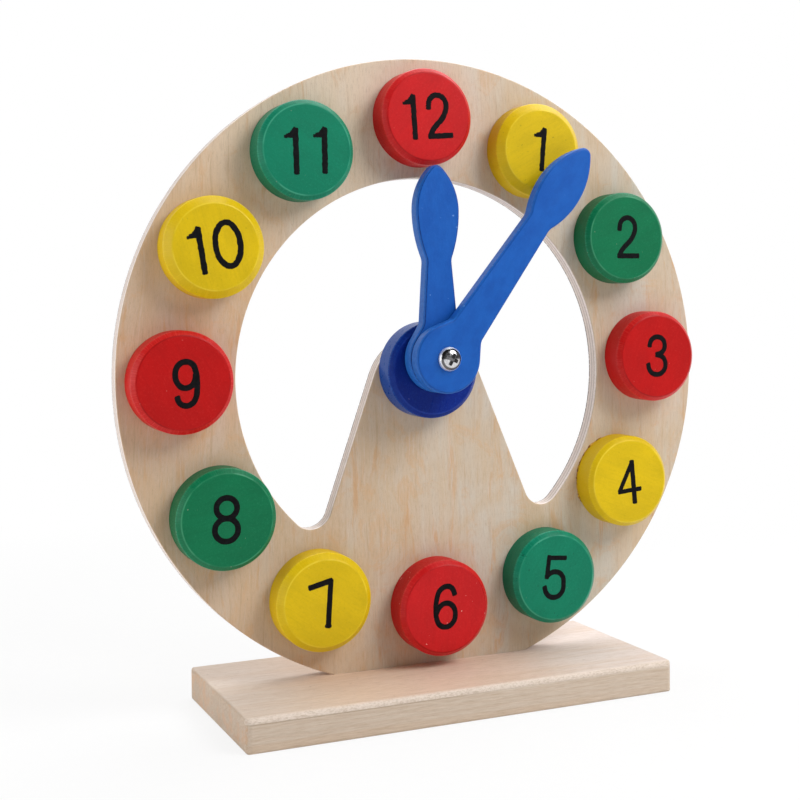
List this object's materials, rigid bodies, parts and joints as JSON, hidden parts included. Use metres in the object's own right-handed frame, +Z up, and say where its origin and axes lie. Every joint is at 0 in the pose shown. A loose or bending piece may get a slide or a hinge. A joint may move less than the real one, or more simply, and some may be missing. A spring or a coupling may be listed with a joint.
{
  "type": "teaching clock",
  "caption": "Wooden teaching clock: open plywood dial with painted number discs, on a flat base, and two friction hands that turn freely on one screw.",
  "frame": {"origin": "on the base board's underside, straight below the ring's centre and midway through the board's depth", "axes": "+Z up, the dial faces -Y, +X to the reader's right"},
  "size_m": [0.2, 0.064, 0.204],
  "materials": {
    "base_wood": "sanded pale solid wood, bare",
    "plywood": "sanded three-ply, bare, upright grain",
    "red_paint": "satin red paint on turned wood",
    "yellow_paint": "satin yellow paint on turned wood",
    "green_paint": "satin green paint on turned wood",
    "navy_paint": "gloss navy paint on turned wood",
    "blue_paint": "satin blue paint on sawn wood",
    "washer_fibre": "pale fibre",
    "screw_steel": "bright plated steel"
  },
  "bodies": {
    "stand": {"base_board": "base_wood", "dial_plate": "plywood", "number_disc_01": "yellow_paint", "number_disc_02": "green_paint", "number_disc_03": "red_paint", "number_disc_04": "yellow_paint", "number_disc_05": "green_paint", "number_disc_06": "red_paint", "number_disc_07": "yellow_paint", "number_disc_08": "green_paint", "number_disc_09": "red_paint", "number_disc_10": "yellow_paint", "number_disc_11": "green_paint", "number_disc_12": "red_paint", "hub_block": "navy_paint", "hub_washer": "washer_fibre", "pivot_screw": "screw_steel"},
    "hour_pointer": {"hour_hand": "blue_paint", "hand_washer": "washer_fibre"},
    "minute_pointer": {"minute_hand": "blue_paint"}
  },
  "joints": [
    {"name": "hour_hand_turn", "type": "hinge", "parent": "stand", "child": "hour_pointer", "pos_m": [-0.0022, -0.0129, 0.10864], "axis": [0, 1, 0], "continuous": true},
    {"name": "minute_hand_turn", "type": "hinge", "parent": "stand", "child": "minute_pointer", "pos_m": [-0.0022, -0.0129, 0.10864], "axis": [0, 1, 0], "continuous": true}
  ]
}
